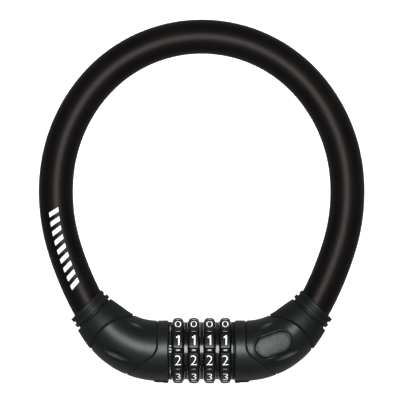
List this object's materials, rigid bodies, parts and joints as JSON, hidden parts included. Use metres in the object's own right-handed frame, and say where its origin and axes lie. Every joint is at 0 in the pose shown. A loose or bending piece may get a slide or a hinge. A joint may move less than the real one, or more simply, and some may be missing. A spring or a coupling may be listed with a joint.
{
  "type": "cable lock",
  "caption": "Combination cable lock: a closed ring of vinyl-covered steel cable whose ends sit in curved housings, joined by a toothed pin behind a row of numbered dials.",
  "frame": {"origin": "middle of the footprint, on the surface that the dials rest on", "axes": "+Z out of the front, +Y from the dials to the top of the ring, +X from the dial housing to the plug"},
  "size_m": [0.1518, 0.17, 0.0318],
  "materials": {
    "vinyl": "glossy extruded vinyl",
    "rope": "stranded wire rope",
    "housing": "satin moulded",
    "boot": "satin moulded",
    "dial": "glossy, white numerals",
    "disc": "glossy",
    "button": "fine pebble grain",
    "casting": "as cast",
    "hard_steel": "turned",
    "screw_steel": "blackened"
  },
  "bodies": {
    "lock_body": {"left_end_housing": "housing", "left_cover_front": "housing", "left_cover_back": "housing", "left_cover_screws": "screw_steel", "left_anchor_block": "casting", "left_ferrule": "hard_steel", "left_anchor_pin": "hard_steel", "left_cable_boot": "boot", "lock_core": "hard_steel", "dial_spacers": "disc", "dial_end_disc": "disc", "detent_balls": "hard_steel", "detent_springs": "hard_steel", "cable_sleeve_left_end": "vinyl", "cable_rope_left_end": "rope"},
    "dial_1": {"dial_wheel_1": "dial", "clutch_ring_1": "hard_steel"},
    "dial_2": {"dial_wheel_2": "dial", "clutch_ring_2": "hard_steel"},
    "dial_3": {"dial_wheel_3": "dial", "clutch_ring_3": "hard_steel"},
    "dial_4": {"dial_wheel_4": "dial", "clutch_ring_4": "hard_steel"},
    "code_ring": {"code_set_ring": "dial"},
    "cable_left": {"cable_sleeve_left": "vinyl", "cable_rope_left": "rope"},
    "cable_right": {"cable_sleeve_right": "vinyl", "cable_rope_right": "rope"},
    "plug": {"right_end_housing": "housing", "right_cover_front": "housing", "right_cover_back": "housing", "right_cover_screws": "screw_steel", "right_anchor_block": "casting", "right_ferrule": "hard_steel", "right_anchor_pin": "hard_steel", "right_cable_boot": "boot", "plug_pin": "hard_steel", "catch_pivot_pin": "hard_steel", "button_spring": "hard_steel", "cable_sleeve_right_end": "vinyl", "cable_rope_right_end": "rope"},
    "button": {"release_button": "button"},
    "catch": {"catch_lever": "hard_steel"}
  },
  "joints": [
    {"name": "dial_1_turn", "type": "hinge", "parent": "lock_body", "child": "dial_1", "pos_m": [-0.01095, -0.06947, 0.0159], "axis": [1, 0, 0], "continuous": true},
    {"name": "dial_2_turn", "type": "hinge", "parent": "lock_body", "child": "dial_2", "pos_m": [-0.00365, -0.06947, 0.0159], "axis": [1, 0, 0], "continuous": true},
    {"name": "dial_3_turn", "type": "hinge", "parent": "lock_body", "child": "dial_3", "pos_m": [0.00365, -0.06947, 0.0159], "axis": [1, 0, 0], "continuous": true},
    {"name": "dial_4_turn", "type": "hinge", "parent": "lock_body", "child": "dial_4", "pos_m": [0.01095, -0.06947, 0.0159], "axis": [1, 0, 0], "continuous": true},
    {"name": "code_ring_turn", "type": "hinge", "parent": "lock_body", "child": "code_ring", "pos_m": [-0.0146, -0.06947, 0.0159], "axis": [1, 0, 0], "range_deg": [0, 60]},
    {"name": "cable_flex_left", "type": "hinge", "parent": "lock_body", "child": "cable_left", "pos_m": [-0.06412, -0.02086, 0.0159], "axis": [0, 0, 1], "range_deg": [-12, 0]},
    {"name": "cable_flex_top", "type": "hinge", "parent": "cable_left", "child": "cable_right", "pos_m": [0, 0.07686, 0.0159], "axis": [0, 0, 1], "range_deg": [0, 24], "stiffness_Nm_per_rad": 2},
    {"name": "cable_flex_right", "type": "hinge", "parent": "cable_right", "child": "plug", "pos_m": [0.06412, -0.02086, 0.0159], "axis": [0, 0, 1], "range_deg": [-12, 0]},
    {"name": "button_press", "type": "slide", "parent": "plug", "child": "button", "axis": [0, 0, -1], "range_m": [0, 0.0015], "stiffness_N_per_m": 600, "springref_m": -0.0015, "deforming": ["button_spring"]},
    {"name": "catch_tilt", "type": "hinge", "parent": "plug", "child": "catch", "pos_m": [0.021, -0.06947, 0.02395], "axis": [0, 1, 0], "range_deg": [0, 13]}
  ],
  "couplings": [
    {"joint": "cable_flex_left", "follows": "cable_flex_top", "ratio": -0.5},
    {"joint": "cable_flex_right", "follows": "cable_flex_top", "ratio": -0.5},
    {"joint": "catch_tilt", "follows": "button_press", "rad_per_m": 151.2}
  ]
}
